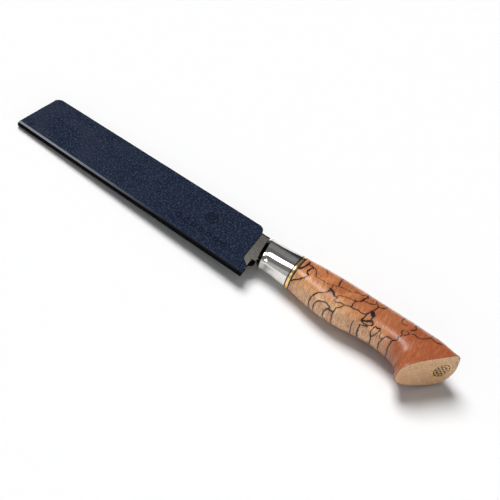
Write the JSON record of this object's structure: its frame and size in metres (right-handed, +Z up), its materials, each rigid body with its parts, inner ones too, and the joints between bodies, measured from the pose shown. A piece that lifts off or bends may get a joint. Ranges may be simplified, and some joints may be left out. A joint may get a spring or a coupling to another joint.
{
  "type": "kitchen knife in a blade guard",
  "caption": "Kitchen knife with a flared polished bolster, brass spacer and hooked spalted wood handle, its blade inside a folded felt-lined guard that slides off.",
  "frame": {"origin": "bottom centre of the bounding box, on the ground the knife lies on", "axes": "+X from the blade's point to the butt, +Y towards the spine, +Z up; the knife lies on its side, tilted 2.3 degrees because its handle is thicker than the guard"},
  "size_m": [0.3355, 0.047, 0.0301],
  "materials": {
    "flecked_sheet": "satin",
    "felt": "matte",
    "blade_steel": "satin",
    "mirror_steel": "mirror polished",
    "black_liner": "satin",
    "brass": "polished",
    "spalted_wood": "gloss clear coat",
    "mosaic_resin": "gloss",
    "plain_steel": "satin"
  },
  "bodies": {
    "knife": {"blade": "blade_steel", "bolster": "mirror_steel", "spacer_black_front": "black_liner", "spacer_brass": "brass", "spacer_black_rear": "black_liner", "handle_block": "spalted_wood", "tang_washer": "plain_steel", "tang_nut": "plain_steel", "medallion_tube": "brass", "medallion_resin": "mosaic_resin", "medallion_rod_01": "brass", "medallion_rod_02": "brass", "medallion_rod_03": "brass", "medallion_rod_04": "brass", "medallion_rod_05": "brass", "medallion_rod_06": "brass", "medallion_rod_07": "brass", "medallion_rod_08": "brass", "medallion_rod_09": "brass", "medallion_rod_10": "brass", "medallion_rod_11": "brass", "medallion_rod_12": "brass", "medallion_rod_13": "brass", "medallion_rod_14": "brass", "medallion_rod_15": "brass", "medallion_rod_16": "brass", "medallion_rod_17": "brass", "medallion_rod_18": "brass", "medallion_rod_19": "brass"},
    "guard": {"guard_shell": "flecked_sheet", "guard_felt_top": "felt", "guard_felt_bottom": "felt"}
  },
  "joints": [
    {"name": "guard_slide", "type": "slide", "parent": "knife", "child": "guard", "axis": [-0.9992, 0, -0.0395], "range_m": [0, 0.187]}
  ]
}
